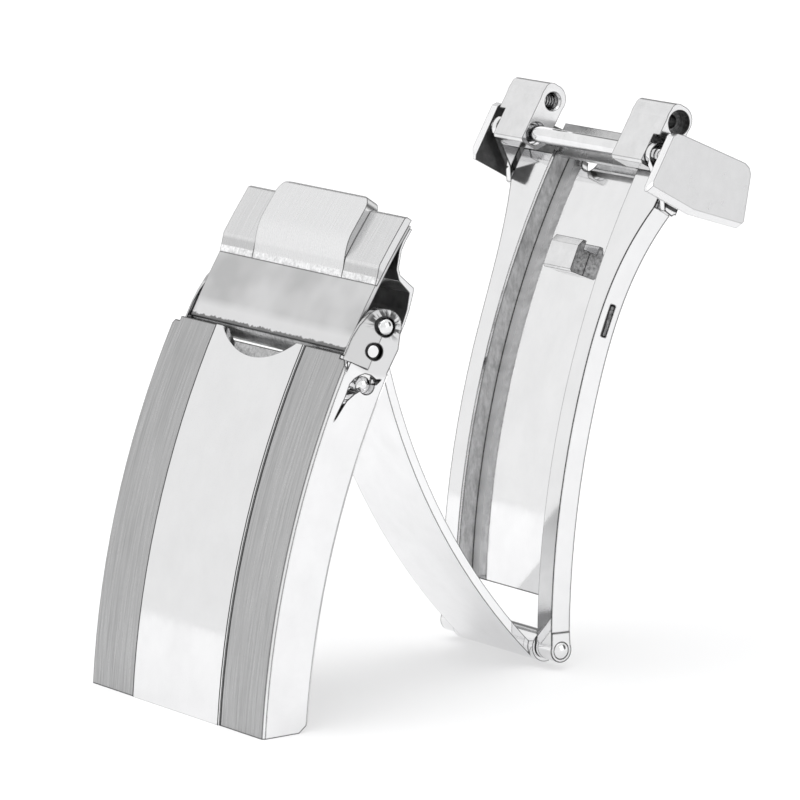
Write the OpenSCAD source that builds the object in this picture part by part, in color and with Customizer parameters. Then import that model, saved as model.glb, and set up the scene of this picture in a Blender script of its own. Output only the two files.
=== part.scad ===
// Watch clasp: curved cover with flip-over safety catch, two folding blades and bracelet end links.
// Millimetres, +Z up. The clasp stands open on its foot, as in the photograph.
// X runs across the clasp, Y from the cover toward the outer blade.

/* [Cover] */
// Full width of the cover
cover_w = 18; // [16:0.5:22]
// Length of the cover measured along its outer arc
cover_len = 20.7; // [20.7:0.1:21]
// Outer radius of the cover's curve
cover_r = 52.02; // [50:0.5:56]
// Steepness of the cover where it stands on the floor, from the horizontal
cover_lean = 83.86; // [82:0.2:86]
// Depth of the side walls
cover_depth = 2.82; // [2.7:0.02:2.9]
// Thickness of the top skin
skin_t = 1.0; // [0.8:0.05:1.05]
// Thickness of each side wall
wall_t = 0.95; // [0.8:0.05:1.0]
// Width of the polished centre lane
lane_w = 9.08; // [8:0.1:10]
// Height of the centre lane above the brushed lanes
lane_proud = 0.05; // [0:0.01:0.1]
// Depth of the centre lane's seat in the skin
lane_seat = 0.45; // [0.3:0.05:0.5]
// Radius of the finger notch at the end of the cover
notch_r = 6.4; // [6:0.1:7]
// Depth of the finger notch
notch_depth = 1.27; // [1:0.01:1.4]
// Thickness of the thinned lip that the catch swings past
lip_t = 0.42; // [0.3:0.02:0.44]

/* [Hinge positions on the cover, along the arc and below the outer face] */
// Blade hinge, along the arc
blade_pin_s = 22.97; // [22.9:0.01:23.1]
// Catch hinge, along the arc
catch_pin_s = 21.5; // [21.45:0.01:21.55]
// Depth of both hinge pins
pin_d = 1.42; // [1.38:0.01:1.46]
// Cross bar of the hook keeper, along the arc
bar_s = 19.64; // [19.5:0.01:19.7]
// Depth of the cross bar
bar_d = 1.71; // [1.68:0.01:1.76]
// Radius of the blade pin
blade_pin_r = 0.42; // [0.36:0.01:0.43]
// Radius of the catch pin
catch_pin_r = 0.34; // [0.3:0.01:0.38]
// Radius of the cross bar
bar_r = 0.45; // [0.4:0.01:0.48]
// Radius of the ear round the blade pin
ear_r = 0.95; // [0.9:0.01:1.0]

/* [Safety catch] */
// Depth of the catch plate's outer face
catch_face_d = 0.35; // [0.3:0.01:0.4]
// Thickness of the catch plate
catch_t = 0.25; // [0.2:0.01:0.28]
// End of the catch along the arc
catch_end_s = 28.8; // [28.6:0.05:29]
// Start of the step up to the side lobes
step_s = 24.8; // [24.7:0.05:24.9]
// Depth of the side lobes' outer face
lobe_d = 0.02; // [0:0.01:0.1]
// Half-width of the raised centre lobe
lobe_mid = 4.55; // [4.2:0.05:4.8]
// Depth of the centre lobe's outer face, negative stands proud
lobe_mid_d = -0.34; // [-0.4:0.01:-0.3]
// Depth of the corner where the catch's back sheet bends
catch_back_d = 2.57; // [2.5:0.01:2.6]
// Thickness of the catch's back sheet
back_t = 0.15; // [0.12:0.01:0.18]

/* [Inner blade] */
// Distance between the inner blade's two hinges
inner_len = 23.41; // [23.35:0.01:23.45]
// Full width of the inner blade
inner_w = 7.1; // [6.8:0.05:7.2]
// Thickness of the inner blade
inner_t = 0.5; // [0.4:0.01:0.52]
// Radius of the inner blade's outer face
inner_r = 36; // [34:0.5:40]
// Radius of the inner blade's barrel at the fold hinge
inner_barrel_r = 0.85; // [0.8:0.01:0.95]
// Half-width of the window for the hook
window_half = 1.75; // [1.6:0.05:1.9]

/* [Outer blade] */
// Radius of the outer blade's outer face
outer_r = 52.65; // [52:0.05:53]
// Steepness of the outer blade at its foot
outer_lean = 89; // [88:0.2:90]
// Half-width of the rails
rail_half = 5.5; // [5.3:0.05:5.6]
// Half-width of the recessed lane between the rails
lane_half = 4.05; // [3.9:0.05:4.1]
// Depth of the recessed lane
recess_d = 1.05; // [0.95:0.01:1.1]
// Thickness of the centre plate
plate_t = 0.45; // [0.4:0.01:0.5]
// Depth of the rails' side walls
rail_depth = 1.2; // [1.1:0.02:1.3]
// Top end of the rails along the blade
rail_end_s = 27.7; // [27.6:0.05:27.75]
// Height of the fold pin above the floor when the clasp stands open
fold_h = 1.05; // [1:0.01:1.08]
// Radius of the fold hinge knuckles
knuckle_r = 0.66; // [0.64:0.01:0.7]
// Radius of the fold pin
fold_pin_r = 0.45; // [0.4:0.01:0.48]
// Height of the hook above the centre plate
hook_h = 0.9; // [0.8:0.02:0.95]
// Full width of the hook
hook_w = 2.65; // [2.4:0.05:2.7]

/* [Bracelet end] */
// Distance from a link's inner face to the centre plane
link_in = 4.4; // [4.3:0.05:4.5]
// Thickness of the links
link_t = 1.6; // [1.5:0.05:1.65]
// Position of the cross rod along the outer blade
rod_s = 28.2; // [28.15:0.01:28.25]
// Depth of the cross rod, negative is in front of the rails
rod_d = -1.42; // [-1.45:0.01:-1.4]
// Radius of the cross rod
rod_r = 0.45; // [0.4:0.01:0.48]
// Radius of the screw hole at the top of each link
screw_hole_r = 0.38; // [0.35:0.01:0.42]
// Radius of the screw head's seat in the right link
screw_seat_r = 0.68; // [0.6:0.01:0.72]
// Full width over the end cheeks
shroud_w = 17.8; // [17.6:0.05:18]
// Thickness of each end cheek
cheek_t = 0.6; // [0.55:0.01:0.65]

/* [Clearances] */
// Radial clearance of every turning fit
turn_gap = 0.03; // [0.02:0.005:0.05]
// Side clearance between parts that turn past each other
side_gap = 0.05; // [0.04:0.01:0.06]
// Width of the fine line beside the centre lane
seam_gap = 0.03; // [0.02:0.01:0.05]
// Gap between the catch and the cover's ears
catch_gap = 0.1; // [0.08:0.01:0.2]
// Gap between a link and the end cheek beside it
link_gap = 0.48; // [0.45:0.01:0.6]
// Gap between the flared rails and the end cheeks
flare_gap = 1.25; // [1.2:0.05:1.4]

/* [Hidden] */
fine = 360;
round_fn = 48;
eps = 0.01;
big = 200;
cover_half = cover_w / 2;
cover_in = cover_half - wall_t;
catch_half = cover_in - catch_gap;
inner_half = inner_w / 2;
shroud_half = shroud_w / 2;
cheek_in = shroud_half - cheek_t;
link_out = cheek_in - link_gap;
flare_half = cheek_in - flare_gap;

// centre of the cover's curve, with the outer face meeting the floor at y = 0
turn_a = cover_lean - 90;
cov_y = cover_r * cos(turn_a);
cov_z = cover_r * sin(turn_a);

// places past the cover's middle are written for a front edge at front_s, and move with that edge
front_s = 20.7;
front_zone_s = 10;
function along(s) = s > front_zone_s ? s + cover_len - front_s : s;

// direction and place of a point s along the cover's arc and d below its outer face
function phi(s) = cover_lean + 90 - along(s) / cover_r * 180 / PI;
function pt(s, d) = [cov_y + (cover_r - d) * cos(phi(s)), cov_z + (cover_r - d) * sin(phi(s))];

// hinge places in the side view
blade_pin_p = pt(blade_pin_s, pin_d);
catch_pin_p = pt(catch_pin_s, pin_d);
bar_p = pt(bar_s, bar_d);

// fold hinge: closed place below the cover, open place on the floor
fold_closed_d = 3.8;
arm_p = cover_r - pin_d;
arm_f = cover_r - fold_closed_d;
fold_gamma = acos((arm_p * arm_p + arm_f * arm_f - inner_len * inner_len) / (2 * arm_p * arm_f));
fold_phi = phi(blade_pin_s) + fold_gamma;
fold_closed_p = [cov_y + arm_f * cos(fold_phi), cov_z + arm_f * sin(fold_phi)];
fold_open_a = -asin((blade_pin_p[1] - fold_h) / inner_len);
fold_open_p = blade_pin_p + inner_len * [cos(fold_open_a), sin(fold_open_a)];
fold_closed_a = atan2(fold_closed_p[1] - blade_pin_p[1], fold_closed_p[0] - blade_pin_p[0]);
open_angle = fold_open_a - fold_closed_a;

// outer blade's curve: s runs up the blade, d goes from the rails' face toward the wrist
fold_s = 0.8;
fold_d = 0.62;
function phi2(s) = outer_lean + 90 - s / outer_r * 180 / PI;
function off2(s, d) = (outer_r - d) * [cos(phi2(s)), sin(phi2(s))];
out_c = fold_open_p - off2(fold_s, fold_d);
function pt2(s, d) = out_c + off2(s, d);
rod_p = pt2(rod_s, rod_d);

// frame shift: the origin lies on the floor below the middle of the whole clasp
cheek_low_s = 27.1;
cheek_low_d = 4.5;
cheek_top_s = 29.75;
cheek_top_d = 3.65;
min_y = cov_y - sqrt(cover_r * cover_r - cov_z * cov_z);
max_y = max(pt2(cheek_low_s, cheek_low_d)[0], pt2(cheek_top_s, cheek_top_d)[0]);
mid_y = (min_y + max_y) / 2;

// extrudes a side view (y, z) across the clasp from x0 to x1
module across(x0, x1) {
  translate([x0, 0, 0]) rotate([90, 0, 90]) linear_extrude(height = x1 - x0) children();
}

// the same on both sides of the centre plane
module both(x0, x1) {
  across(x0, x1) children();
  across(-x1, -x0) children();
}

// side view ring sector about the cover's centre
module band(s0, s1, d0, d1) {
  translate([cov_y, cov_z]) intersection() {
    difference() {
      circle(r = cover_r - d0, $fn = fine);
      circle(r = cover_r - d1, $fn = fine);
    }
    polygon([[0, 0], big * [cos(phi(s0)), sin(phi(s0))], big * [cos(phi(s1)), sin(phi(s1))]]);
  }
}

// sweeps a section of [x, d] points along the cover's arc
module cover_sweep(s0, s1, pts) {
  translate([0, cov_y, cov_z]) rotate([90, 0, 90]) rotate([0, 0, phi(s1)])
    rotate_extrude(angle = phi(s0) - phi(s1), $fn = fine)
      polygon([for (p = pts) [cover_r - p[1], p[0]]]);
}

// sweeps a section of [x, d] points along the outer blade's arc
module blade_sweep(s0, s1, pts) {
  translate([0, out_c[0], out_c[1]]) rotate([90, 0, 90]) rotate([0, 0, phi2(s1)])
    rotate_extrude(angle = phi2(s0) - phi2(s1), $fn = fine)
      polygon([for (p = pts) [outer_r - p[1], p[0]]]);
}

// local frame on the cover: x across, y up the arc, z out of the outer face
module on_cover(s) {
  p = pt(s, 0);
  translate([0, p[0], p[1]]) rotate([phi(s) - 90, 0, 0]) children();
}

// the same on the outer blade
module on_blade(s) {
  p = pt2(s, 0);
  translate([0, p[0], p[1]]) rotate([phi2(s) - 90, 0, 0]) children();
}

// round bar across the clasp at a side view point
module bar(p, r, x0, x1) {
  translate([x0, p[0], p[1]]) rotate([0, 90, 0]) cylinder(h = x1 - x0, r = r, $fn = round_fn);
}

// domed head that swells from a pin's end
module dome(p, r, h, x, dir) {
  rs = (r * r + h * h) / (2 * h);
  intersection() {
    translate([x - dir * (rs - h), p[0], p[1]]) sphere(r = rs, $fn = round_fn);
    if (dir > 0) bar(p, r, x, x + h + eps);
    else bar(p, r, x - h - eps, x);
  }
}

// turns the inner blade from its closed place to its open place
module opened() {
  translate([0, blade_pin_p[0], blade_pin_p[1]]) rotate([open_angle, 0, 0])
    translate([0, -blade_pin_p[0], -blade_pin_p[1]]) children();
}

module place() {
  translate([0, -mid_y, 0]) children();
}

edge = 0.14;
back_edge = 0.2;
corner_r = 1.0;
foot_cut_h = 3;

module cover_section() {
  cover_sweep(-1, front_s, [
    [-cover_half, cover_depth - back_edge], [-cover_half, edge], [-cover_half + edge, 0],
    [-lane_w / 2, 0], [-lane_w / 2, lane_seat], [lane_w / 2, lane_seat], [lane_w / 2, 0],
    [cover_half - edge, 0], [cover_half, edge], [cover_half, cover_depth - back_edge],
    [cover_half - back_edge, cover_depth], [cover_in, cover_depth], [cover_in, skin_t],
    [-cover_in, skin_t], [-cover_in, cover_depth], [-cover_half + back_edge, cover_depth]]);
}

// rounds one top corner of the cover's free end
module corner_cut(side) {
  on_cover(front_s) translate([side * (cover_half - corner_r), -corner_r, 0])
    difference() {
      translate([side > 0 ? 0 : -corner_r - 1, 0, -ear_d]) cube([corner_r + 1, corner_r + 1, 2]);
      translate([0, 0, -ear_d - 1]) cylinder(h = 4, r = corner_r, $fn = round_fn);
    }
}

ear_d = 0.22;
lip_s = 20.15;
ear_start_s = 16.5;
ear_back_s = 22.2;
ear_back_d = 2.66;
ear_out_s = 22.45;

module ear_shape() {
  polygon([pt(ear_start_s, ear_d + 0.4), pt(front_s - 0.3, ear_d), pt(ear_out_s - 0.8, ear_d),
    pt(ear_out_s, ear_d + 0.09), pt(blade_pin_s + 0.3, pin_d - ear_r + 0.05), pt(blade_pin_s, pin_d),
    pt(blade_pin_s + 0.1, pin_d + ear_r - 0.01), pt(ear_back_s, ear_back_d),
    pt(ear_start_s + 3, cover_depth - back_edge - 0.12), pt(ear_start_s, cover_depth - 2 * back_edge)]);
  translate(blade_pin_p) circle(r = ear_r, $fn = round_fn);
}

// slanted outer corner of the ears, from a narrow front edge back to the hinge pins
ledge_s = 20.45;
ear_front = 0.8;

module ear_slant() {
  x0 = cover_half - ear_front;
  x1 = cover_half + 1;
  for (side = [-1, 1])
    cover_sweep(ledge_s, blade_pin_s + 2 * ear_r, [[side * x0, ear_d], [side * (cover_half + eps), pin_d],
      [side * x1, pin_d], [side * x1, -1], [side * x0, -1]]);
}

// opening round the front of the cross bar's head, with a tail that fades down the side wall
module side_opening() {
  polygon([pt(bar_s - 2.6, bar_d - 1.2), pt(bar_s - 1.07, bar_d - 1.0), pt(bar_s - 0.28, bar_d - 1.02),
    pt(bar_s + 0.05, bar_d - 0.88), pt(bar_s + 0.34, bar_d - 0.64), pt(bar_s + 0.55, bar_d - 0.38),
    pt(bar_s + 0.6, bar_d), pt(bar_s + 0.5, bar_d + 0.4), pt(bar_s + 0.64, bar_d + 0.68),
    pt(bar_s + 0.3, bar_d + 0.52), bar_p, pt(bar_s - 0.42, bar_d - 0.33),
    pt(bar_s - 0.67, bar_d - 0.55), pt(bar_s - 1.18, bar_d - 0.85), pt(bar_s - 1.71, bar_d - 0.98)]);
}

bracelet_s = 1.9;
bracelet_d = 1.9;
bracelet_p = pt(bracelet_s, bracelet_d);
plunger_r = 0.4;
socket_depth = 0.6;

pin_seat = 0.3;
pin_ring = 0.1;

module cover_shell() {
  color("silver") place() difference() {
    union() {
      cover_section();
      both(cover_in, cover_half) ear_shape();
    }
    // flat foot on the floor, and its worn back corner
    translate([-big / 2, -big / 2, -foot_cut_h]) cube([big, big, foot_cut_h]);
    across(-cover_half - 1, cover_half + 1)
      polygon([pt(-1, 1.6), pt(0.24, 2.2), pt(0.9, cover_depth + eps), pt(0.9, 4), pt(-1, 4)]);
    // thinned lip that the catch swings past
    across(-cover_in, cover_in) band(lip_s, front_s + 1, lip_t, skin_t + 0.2);
    corner_cut(1);
    corner_cut(-1);
    ear_slant();
    both(cover_in - eps, cover_half + 1) side_opening();
    // pin holes, wider where the pins' ends lie in them
    bar(blade_pin_p, blade_pin_r, -cover_half - 1, cover_half + 1);
    bar(catch_pin_p, catch_pin_r, -cover_half - 1, cover_half + 1);
    bar(bar_p, bar_r, -cover_half - 1, cover_half + 1);
    both(cover_half - pin_seat, cover_half + 1) {
      translate(blade_pin_p) circle(r = blade_pin_r + pin_ring, $fn = round_fn);
      translate(catch_pin_p) circle(r = catch_pin_r + pin_ring, $fn = round_fn);
    }
    // blind sockets for the bracelet's spring bar
    bar(bracelet_p, plunger_r + turn_gap, -cover_in - socket_depth, cover_in + socket_depth);
  }
}

module cover_center_strip() {
  h = lane_w / 2 - seam_gap;
  color("gainsboro") place() difference() {
    cover_sweep(-1, front_s, [
      [-h, lane_seat], [-h, -lane_proud + 0.05], [-h + 0.05, -lane_proud],
      [h - 0.05, -lane_proud], [h, -lane_proud + 0.05], [h, lane_seat]]);
    translate([-big / 2, -big / 2, -foot_cut_h]) cube([big, big, foot_cut_h]);
    on_cover(front_s) translate([0, notch_r - notch_depth, -2.2])
      cylinder(h = 4, r = notch_r, $fn = fine);
  }
}

keeper_half = 1.3;
keeper_t = 0.42;
keeper_edge_s = 22.34;
keeper_tip_s = 22.8;

// bent tongue: from the cross bar under the hinge pins to the edge that holds the hook
module keeper_shape() {
  polygon([pt(19.25, 1.9), pt(19.9, 2.45), pt(20.4, 2.95), pt(keeper_tip_s - 0.42, 2.98),
    pt(keeper_tip_s - 0.42, 3.55), pt(keeper_edge_s, 3.62), pt(keeper_edge_s, 3.95),
    pt(keeper_tip_s, 3.95), pt(keeper_tip_s, 2.56), pt(20.6, 2.53), pt(19.95, 1.75)]);
  translate(bar_p) circle(r = bar_r + 0.15, $fn = round_fn);
}

module hook_keeper() {
  color("darkgray") place() difference() {
    across(-keeper_half, keeper_half) keeper_shape();
    bar(bar_p, bar_r, -cover_half, cover_half);
  }
}

bar_head_h = 0.25;

bar_end = 0.45;

module keeper_bar() {
  x = cover_half - bar_end;
  color("lightgray") place() {
    bar(bar_p, bar_r, -x, x);
    dome(bar_p, bar_r, bar_head_h, x, 1);
    dome(bar_p, bar_r, bar_head_h, -x, -1);
  }
}

leaf_t = 0.18;
leaf_in = 4.3;
leaf_out = 6.2;

// spring leaf riveted under the skin, with a leg that presses on each knuckle of the catch
module catch_spring() {
  color("slategray") place() {
    across(-leaf_out, leaf_out) band(13.5, 16.5, skin_t, skin_t + leaf_t);
    both(leaf_in, leaf_out) band(16.4, 20.1, skin_t, skin_t + leaf_t);
  }
}

module blade_pin() {
  color("lightgray") place() {
    bar(blade_pin_p, blade_pin_r, -cover_half, cover_half);
    dome(blade_pin_p, blade_pin_r, 0.2, cover_half, 1);
    dome(blade_pin_p, blade_pin_r, 0.2, -cover_half, -1);
  }
}

module catch_pin() {
  x = cover_half - pin_seat + 0.1;
  color("lightgray") place() bar(catch_pin_p, catch_pin_r, -x, x);
}

tube_r = 0.75;
tube_in_r = 0.6;
tube_half = cover_in - 1.15;
shoulder_r = 0.57;
shoulder_out = tube_half - 0.5;
shoulder_in = shoulder_out - 1.0;
tip_gap = 0.1;

module spring_bar_tube() {
  color("silver") place() difference() {
    bar(bracelet_p, tube_r, -tube_half, tube_half);
    bar(bracelet_p, tube_in_r, -tube_half + 0.3, tube_half - 0.3);
    bar(bracelet_p, plunger_r + turn_gap, -tube_half - 1, tube_half + 1);
  }
}

module spring_bar_plunger_right() {
  color("lightgray") place() {
    bar(bracelet_p, shoulder_r, shoulder_in, shoulder_out);
    bar(bracelet_p, plunger_r, shoulder_in, cover_in + socket_depth - tip_gap);
  }
}

module spring_bar_plunger_left() {
  color("lightgray") place() {
    bar(bracelet_p, shoulder_r, -shoulder_out, -shoulder_in);
    bar(bracelet_p, plunger_r, -cover_in - socket_depth + tip_gap, -shoulder_in);
  }
}

coil_r = 0.42;
coil_wire = 0.1;
coil_turns = 16;

module spring_bar_spring() {
  color("dimgray") place() translate([-shoulder_in, bracelet_p[0], bracelet_p[1]])
    rotate([0, 90, 0])
      linear_extrude(height = 2 * shoulder_in, twist = 360 * coil_turns, slices = 16 * coil_turns)
        translate([coil_r, 0]) circle(r = coil_wire, $fn = 8);
}

catch_knuckle_r = 0.75;
heel_r = 1.07;
catch_start_s = 20.97;
base_d = 0.45;

// point at an angle from the outward direction toward the cover, round the catch pin
function heel(a, r) = pt(catch_pin_s - r * sin(a), pin_d - r * cos(a));

// side view of the catch's outer plate: lower plate, step and the seat of the lobes
module catch_plate_shape() {
  in_d = catch_face_d + catch_t;
  band(catch_start_s, step_s, catch_face_d, in_d);
  band(step_s - 0.02, catch_end_s - 0.3, base_d, in_d);
}

// heel that fills the gap behind the cover's lip, and the web from it up to the plate
module catch_heel_shape() {
  translate(catch_pin_p) circle(r = catch_knuckle_r, $fn = round_fn);
  polygon(concat([catch_pin_p], [for (a = [96 : -8 : 32]) heel(a, heel_r)],
    [pt(catch_start_s, catch_face_d + 0.1), pt(catch_pin_s + 0.8, catch_face_d + 0.1),
      pt(catch_pin_s + 0.7, pin_d - 0.2)]));
}

module catch_plate() {
  color("silver") place() difference() {
    union() {
      across(-catch_half, catch_half) catch_plate_shape();
      across(-catch_half, catch_half) catch_heel_shape();
    }
    bar(catch_pin_p, catch_pin_r + turn_gap, -cover_half, cover_half);
  }
}

back_start_s = 23.1;
back_low_d = 3.05;
box_s = 25.8;

// side view of the catch's back sheet: flat under the lobes, bent in to the box, then down
module catch_back_shape() {
  in_d = catch_face_d + catch_t;
  t = back_t;
  polygon([pt(catch_end_s - 0.4, in_d), pt(catch_end_s - 0.4, in_d + t), pt(27.7, in_d + t),
    pt(27.15, 0.81), pt(26.25, 1.17), pt(box_s + 0.18, 1.45), pt(box_s, catch_back_d),
    pt(box_s - 0.25, catch_back_d + 0.1), pt(24.6, back_low_d - 0.13), pt(23.8, back_low_d - 0.02),
    pt(back_start_s, back_low_d), pt(back_start_s, back_low_d - t), pt(23.8, back_low_d - t - 0.02),
    pt(24.55, back_low_d - t - 0.13), pt(box_s - 0.37, catch_back_d - 0.12), pt(box_s - 0.12, 1.55),
    pt(26.12, 1.08), pt(27.1, 0.68), pt(27.6, in_d)]);
}

module catch_back_plate() {
  color("silver") place() difference() {
    across(-catch_half, catch_half) catch_back_shape();
    across(-inner_half - 0.4, inner_half + 0.4)
      polygon([pt(22.9, 1.6), pt(24.8, 1.6), pt(24.8, 3.4), pt(22.9, 3.4)]);
  }
}

lobe_edge = 0.12;
bead_s = 25.3;
bead_d = 0.2;

// takes a side view down to the arc that the lobes sit on
module seated() {
  difference() {
    children();
    translate([cov_y, cov_z]) circle(r = cover_r - base_d, $fn = fine);
  }
}

// one side lobe: brushed pad with a rolled bead and slanted foot, and a chamfered free end
module lobe_shape() {
  seated() polygon([pt(step_s, base_d + 0.1), pt(step_s, catch_face_d), pt(step_s + 0.12, 0.3),
    pt(bead_s, bead_d), pt(bead_s + 0.42, lobe_d + 0.03), pt(bead_s + 0.55, lobe_d),
    pt(catch_end_s - 1.8, lobe_d), pt(catch_end_s - lobe_edge, lobe_d),
    pt(catch_end_s, lobe_d + lobe_edge), pt(catch_end_s, base_d + 0.1)]);
}

module catch_lobe_right() {
  color("silver") place() across(lobe_mid + seam_gap, catch_half) lobe_shape();
}

module catch_lobe_left() {
  color("silver") place() across(-catch_half, -lobe_mid - seam_gap) lobe_shape();
}

lobe_top_s = 29.35;
lobe_corner_r = 0.8;
ramp_len = 1.9;
ramp_steps = 10;

// depth of the centre lobe's face: it rises smoothly from the bead to its full height
function ramp_d(u) = bead_d + (lobe_mid_d - bead_d) * sin(90 * u);

// raised centre lobe with rounded free corners and a finger lip at its end
module catch_lobe_center() {
  plan_mid_s = 27;
  color("gainsboro") place() intersection() {
    across(-lobe_mid, lobe_mid) seated()
      polygon(concat([pt(step_s, base_d + 0.1), pt(step_s, catch_face_d), pt(step_s + 0.12, 0.3)],
        [for (i = [0 : ramp_steps]) pt(bead_s + i / ramp_steps * ramp_len, ramp_d(i / ramp_steps))],
        [pt(lobe_top_s - 1, lobe_mid_d), pt(lobe_top_s - lobe_edge, lobe_mid_d),
          pt(lobe_top_s, lobe_mid_d + lobe_edge), pt(lobe_top_s, base_d + 0.1)]));
    on_cover(plan_mid_s) translate([0, 0, -3]) linear_extrude(height = 6)
      lobe_plan(lobe_top_s - plan_mid_s);
  }
}

// outline of the centre lobe seen from outside, with its far end at y = top
module lobe_plan(top) {
  translate([-lobe_mid, -4]) square([2 * lobe_mid, 4 + top - lobe_corner_r]);
  translate([-lobe_mid + lobe_corner_r, -1]) square([2 * (lobe_mid - lobe_corner_r), 1.6 + top]);
  for (side = [-1, 1])
    translate([side * (lobe_mid - lobe_corner_r), top - lobe_corner_r])
      circle(r = lobe_corner_r, $fn = round_fn);
}

inner_start_p = pt(21.3, 3.68);

// centre of the inner blade's curve: through its start, tangent to the fold barrel
span_v = fold_closed_p - inner_start_p;
span_l = norm(span_v);
ra = inner_r;
rb = inner_r - inner_barrel_r;
along = (ra * ra - rb * rb + span_l * span_l) / (2 * span_l);
aside = sqrt(ra * ra - along * along);
inner_c = inner_start_p + along / span_l * span_v + aside / span_l * [-span_v[1], span_v[0]];
start_a = atan2(inner_start_p[1] - inner_c[1], inner_start_p[0] - inner_c[0]);
end_a = atan2(fold_closed_p[1] - inner_c[1], fold_closed_p[0] - inner_c[0]);

module inner_plate_shape() {
  translate(inner_c) intersection() {
    difference() {
      circle(r = inner_r, $fn = fine);
      circle(r = inner_r - inner_t, $fn = fine);
    }
    polygon([[0, 0], big * [cos(start_a), sin(start_a)], big * [cos(end_a), sin(end_a)]]);
  }
}

neck_half_t = 0.32;
neck_low_p = inner_c + (inner_r - inner_t / 2) * [cos(start_a + 0.35), sin(start_a + 0.35)];
neck_v = (blade_pin_p - neck_low_p) / norm(blade_pin_p - neck_low_p);
neck_n = [-neck_v[1], neck_v[0]];
pivot_r = 0.59;
window_s = 18.6;
window_p = pt(window_s, 3.4);

module neck_shape() {
  polygon([neck_low_p + neck_half_t * neck_n, neck_low_p - neck_half_t * neck_n,
    blade_pin_p - neck_half_t * neck_n, blade_pin_p + neck_half_t * neck_n]);
  translate(neck_low_p) circle(r = neck_half_t, $fn = round_fn);
}

// parts of the closed space that the hook and its keeper pass through
module window_shape() {
  polygon([pt(window_s, 2), pt(window_s, 5), pt(22.6, 5), pt(22.6, 2)]);
}

module inner_blade() {
  color("gainsboro") place() opened() difference() {
    union() {
      difference() {
        across(-inner_half, inner_half) union() {
          inner_plate_shape();
          neck_shape();
        }
        difference() {
          across(-window_half, window_half) window_shape();
          bar(blade_pin_p, pivot_r, -window_half - 1, window_half + 1);
        }
      }
      bar(blade_pin_p, pivot_r, -inner_half, inner_half);
      bar(fold_closed_p, inner_barrel_r, -lane_half + side_gap, lane_half - side_gap);
    }
    bar(blade_pin_p, blade_pin_r + turn_gap, -cover_half, cover_half);
    bar(fold_closed_p, fold_pin_r + turn_gap, -cover_half, cover_half);
  }
}

flare_start_s = 16;
flare_end_s = 25.8;
function flare_u(s) = min(1, max(0, (s - flare_start_s) / (flare_end_s - flare_start_s)));
function flare(s) = rail_half + (flare_half - rail_half) * pow(flare_u(s), 3);
plan_s = 22;
function plan_y(s) = outer_r * sin((s - plan_s) / outer_r * 180 / PI);
flare_steps = 20;
plate_end_s = 27.94;
plate_start_s = 3.4;

// outline of the outer blade seen along its face normal, from start to end
module blade_plan(half_in, s_end) {
  right = [for (i = [0 : flare_steps]) let (s = flare_start_s + i / flare_steps * (s_end - flare_start_s))
    [flare(s) - half_in, plan_y(s)]];
  left = [for (i = [flare_steps : -1 : 0]) [-right[i][0], right[i][1]]];
  polygon(concat([[rail_half - half_in, -30]], right, left, [[-rail_half + half_in, -30]]));
}

knuckle_out = rail_half + 0.05;
lug_out = link_out - 0.05;
lug_in = lug_out - 0.47;
lug_r = 0.7;
top_notch_r = 0.8;
top_notch_x = -2;
slot_s0 = 18.3;
slot_s1 = 20.1;
slot_d = 0.62;
slot_h = 0.16;

// lug that carries the cross rod beside each link
module lug_shape() {
  polygon([pt2(25.7, 0.25), pt2(26.45, -0.2), pt2(rod_s - 0.55, rod_d - 0.4), pt2(rod_s, rod_d),
    pt2(rod_s + 0.3, rod_d + 0.62), pt2(26.75, 0.6), pt2(26.4, 0.85), pt2(25.9, 1.0), pt2(25.6, 0.8)]);
  translate(rod_p) circle(r = lug_r, $fn = round_fn);
}

// foot that joins a lug to the rail beside it
module lug_foot() {
  polygon([pt2(25.75, 0.45), pt2(26.5, 0.35), pt2(26.5, 1.0), pt2(25.75, 1.0)]);
}

module blade_body() {
  e = 0.1;
  w = flare_half + 0.2;
  back = recess_d + plate_t;
  intersection() {
    blade_sweep(fold_s + 0.3, plate_end_s, [[-w, 0], [-lane_half - e, 0], [-lane_half, e],
      [-lane_half, recess_d], [lane_half, recess_d], [lane_half, e], [lane_half + e, 0], [w, 0],
      [w, rail_depth], [lane_half + 0.5, rail_depth], [lane_half + 0.2, back],
      [-lane_half - 0.2, back], [-lane_half - 0.5, rail_depth], [-w, rail_depth]]);
    on_blade(plan_s) translate([0, 0, -6]) linear_extrude(height = 12) blade_plan(0, plate_end_s + 1);
  }
}

// cuts the ends: open between the knuckles, and rails that stop short of the plate
module blade_end_cuts() {
  across(-lane_half - 0.02, lane_half + 0.02)
    polygon([pt2(-2, -3), pt2(plate_start_s, -3), pt2(plate_start_s, 3), pt2(-2, 3)]);
  both(lane_half + 0.15, flare_half + 2)
    polygon([pt2(rail_end_s, -3), pt2(29, -3), pt2(29, 3), pt2(rail_end_s, 3)]);
}

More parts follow.
